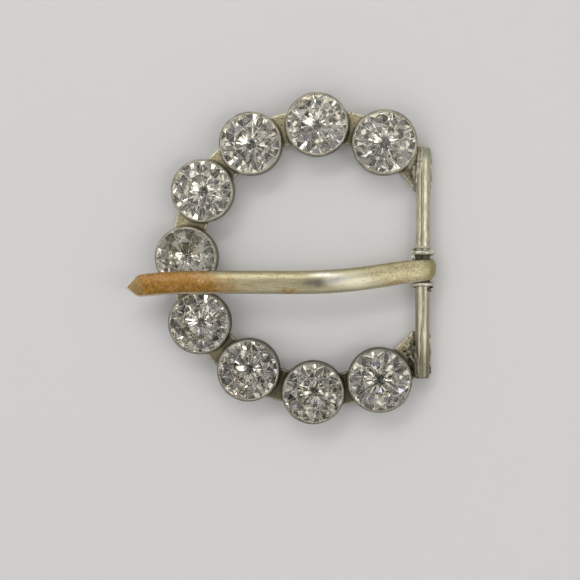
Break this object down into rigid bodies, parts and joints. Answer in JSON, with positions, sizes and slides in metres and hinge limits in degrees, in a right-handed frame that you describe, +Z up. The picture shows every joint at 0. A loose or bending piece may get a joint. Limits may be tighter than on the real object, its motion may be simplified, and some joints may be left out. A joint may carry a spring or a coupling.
{
  "type": "paste-set dress buckle",
  "caption": "Horseshoe dress buckle with round paste stones in closed cups, a straight bar and a swinging half-round tongue.",
  "frame": {"origin": "middle of the whole outline, on the table that the flat back rests on", "axes": "+Z up from the flat back towards the stones' tables; +Y along the bar, from the two cups at its lower end to those at its upper end; +X across the opening, from the tongue's point to the bar"},
  "size_m": [0.0538, 0.0572, 0.0077],
  "materials": {
    "frame_metal": "worn white metal, dull and pitted, with dark tarnish in the corners",
    "paste": "clear cut paste, foiled behind",
    "wire": "grey silvered wire",
    "tongue_metal": "satin, yellowish, with an orange-brown stain at the point"
  },
  "bodies": {
    "frame": {"frame": "frame_metal", "stone_1": "paste", "stone_2": "paste", "stone_3": "paste", "stone_4": "paste", "stone_5": "paste", "stone_6": "paste", "stone_7": "paste", "stone_8": "paste", "stone_9": "paste", "collar_upper": "wire", "collar_lower": "wire"},
    "tongue": {"tongue": "tongue_metal"}
  },
  "joints": [
    {"name": "tongue_hinge", "type": "hinge", "parent": "frame", "child": "tongue", "pos_m": [0.02455, -0.00076, 0.0024], "axis": [0, 1, 0], "range_deg": [0, 165]}
  ]
}
